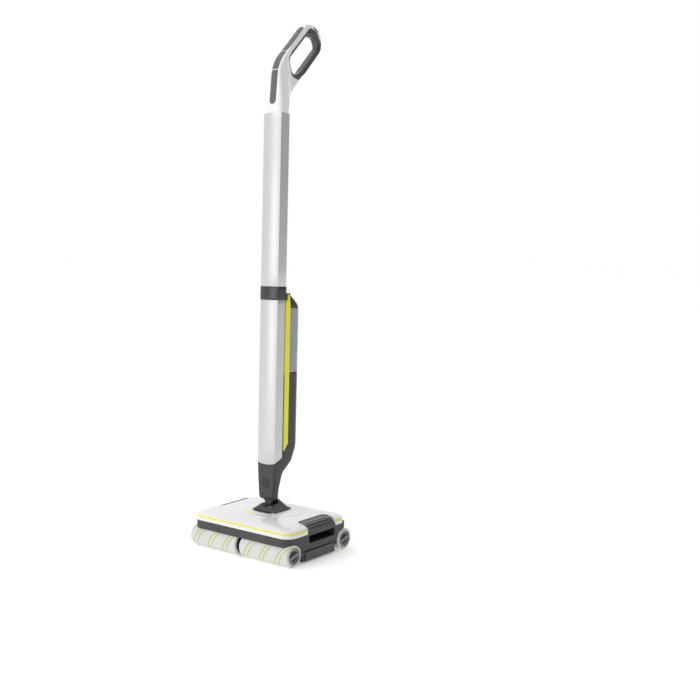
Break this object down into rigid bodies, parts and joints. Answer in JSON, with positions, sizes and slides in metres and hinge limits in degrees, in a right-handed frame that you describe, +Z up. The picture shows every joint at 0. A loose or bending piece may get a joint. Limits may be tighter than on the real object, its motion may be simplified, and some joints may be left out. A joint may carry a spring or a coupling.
{
  "type": "wet dry floor scrubber",
  "caption": "Cordless upright wet floor scrubber with two rows of driven pile rollers, a slim stem with a clean-water tank and a closed loop handle.",
  "frame": {"origin": "on the floor under the middle of the overall box", "axes": "+X along the rollers, to the right seen from the front, +Y to the rear, +Z up"},
  "size_m": [0.305, 0.2948, 1.2201],
  "materials": {
    "white_plastic": "glossy white",
    "dark_plastic": "fine matte",
    "grip_plastic": "soft matte",
    "housing_plastic": "satin",
    "tray_plastic": "satin",
    "collar_plastic": "gloss black",
    "inlay_plastic": "fine ribbed",
    "lens_plastic": "dark clear",
    "yellow_trim": "bright yellow",
    "tank_plastic": "smoky translucent",
    "silver_paint": "satin silver",
    "aluminium": "plain",
    "steel": "ground",
    "rubber": "matte",
    "pile": "short pile",
    "cap_plastic": "satin grey",
    "cell_wrap": "film wrap",
    "board": "solder mask"
  },
  "bodies": {
    "head": {"head_frame": "dark_plastic", "head_cover": "white_plastic", "cover_pinstripe": "yellow_trim", "cover_accent": "yellow_trim", "cover_screws": "steel", "pivot_brackets": "dark_plastic", "wipers": "rubber", "frame_beams": "dark_plastic", "frame_ends": "dark_plastic", "splash_plate": "dark_plastic", "grip_pins": "steel", "spray_bars": "aluminium", "belt_case_front": "dark_plastic", "belt_case_rear": "dark_plastic", "drive_belts": "rubber", "drive_motors": "steel"},
    "dirt_tray": {"dirt_tray": "tray_plastic", "tray_runners": "tray_plastic", "tray_side_panels": "tray_plastic"},
    "grip_left": {"side_grip_left": "grip_plastic"},
    "grip_right": {"side_grip_right": "grip_plastic"},
    "front_rollers": {"roller_pile_front_left": "pile", "roller_pile_front_right": "pile", "roller_core_front_left": "dark_plastic", "roller_core_front_right": "dark_plastic", "roller_cap_front_left": "cap_plastic", "roller_cap_front_right": "cap_plastic", "axle_front": "steel"},
    "rear_rollers": {"roller_pile_rear_left": "pile", "roller_pile_rear_right": "pile", "roller_core_rear_left": "dark_plastic", "roller_core_rear_right": "dark_plastic", "roller_cap_rear_left": "cap_plastic", "roller_cap_rear_right": "cap_plastic", "axle_rear": "steel"},
    "front_motor_shaft": {"motor_shaft_front": "steel"},
    "rear_motor_shaft": {"motor_shaft_rear": "steel"},
    "yoke": {"tilt_foot": "dark_plastic", "tilt_axle": "steel", "swivel_pin": "steel"},
    "stem": {"knuckle": "housing_plastic", "stem_housing": "housing_plastic", "display_lens": "lens_plastic", "charging_socket": "lens_plastic", "battery_cells": "cell_wrap", "control_board": "board", "water_pump": "dark_plastic", "tank_seat": "dark_plastic", "lower_tube": "silver_paint", "tube_joiner": "aluminium", "collar": "collar_plastic", "upper_tube": "silver_paint", "stem_strips": "yellow_trim", "handle_shell": "white_plastic", "handle_grip": "grip_plastic", "handle_inlay": "inlay_plastic"},
    "fresh_tank": {"tank_shell": "tank_plastic", "tank_cap": "dark_plastic"},
    "power_button": {"power_button": "inlay_plastic"},
    "boost_button": {"boost_button": "inlay_plastic"}
  },
  "joints": [
    {"name": "stem_tilt", "type": "hinge", "parent": "head", "child": "yoke", "pos_m": [0, -0.02939, 0.076], "axis": [-1, 0, 0], "range_deg": [0, 60]},
    {"name": "stem_swivel", "type": "hinge", "parent": "yoke", "child": "stem", "pos_m": [0, -0.02939, 0.104], "axis": [0, 1, 0], "range_deg": [-30, 30]},
    {"name": "tank_slide", "type": "slide", "parent": "stem", "child": "fresh_tank", "axis": [0, 0.9993, -0.0384], "range_m": [0, 0.08]},
    {"name": "power_press", "type": "slide", "parent": "stem", "child": "power_button", "axis": [0, 0.8235, -0.5673], "range_m": [0, 0.0015], "stiffness_N_per_m": 400},
    {"name": "boost_press", "type": "slide", "parent": "stem", "child": "boost_button", "axis": [0, 0.713, -0.7012], "range_m": [0, 0.0015], "stiffness_N_per_m": 400},
    {"name": "tray_slide", "type": "slide", "parent": "head", "child": "dirt_tray", "axis": [1, 0, 0], "range_m": [0, 0.3]},
    {"name": "grip_left_lift", "type": "hinge", "parent": "head", "child": "grip_left", "pos_m": [-0.1205, -0.03439, 0.0805], "axis": [0, 1, 0], "range_deg": [0, 20], "stiffness_Nm_per_rad": 0.6},
    {"name": "grip_right_lift", "type": "hinge", "parent": "head", "child": "grip_right", "pos_m": [0.1205, -0.03439, 0.0805], "axis": [0, -1, 0], "range_deg": [0, 20], "stiffness_Nm_per_rad": 0.6},
    {"name": "front_roll", "type": "hinge", "parent": "head", "child": "front_rollers", "pos_m": [0, -0.12279, 0.0246], "axis": [1, 0, 0], "continuous": true},
    {"name": "rear_roll", "type": "hinge", "parent": "head", "child": "rear_rollers", "pos_m": [0, 0.05401, 0.0246], "axis": [1, 0, 0], "continuous": true},
    {"name": "front_motor_spin", "type": "hinge", "parent": "head", "child": "front_motor_shaft", "pos_m": [0, -0.07039, 0.046], "axis": [1, 0, 0], "continuous": true},
    {"name": "rear_motor_spin", "type": "hinge", "parent": "head", "child": "rear_motor_shaft", "pos_m": [0, 0.00161, 0.046], "axis": [1, 0, 0], "continuous": true}
  ],
  "couplings": [
    {"joint": "front_motor_spin", "follows": "front_roll", "ratio": 1.8},
    {"joint": "rear_motor_spin", "follows": "rear_roll", "ratio": 1.8}
  ]
}
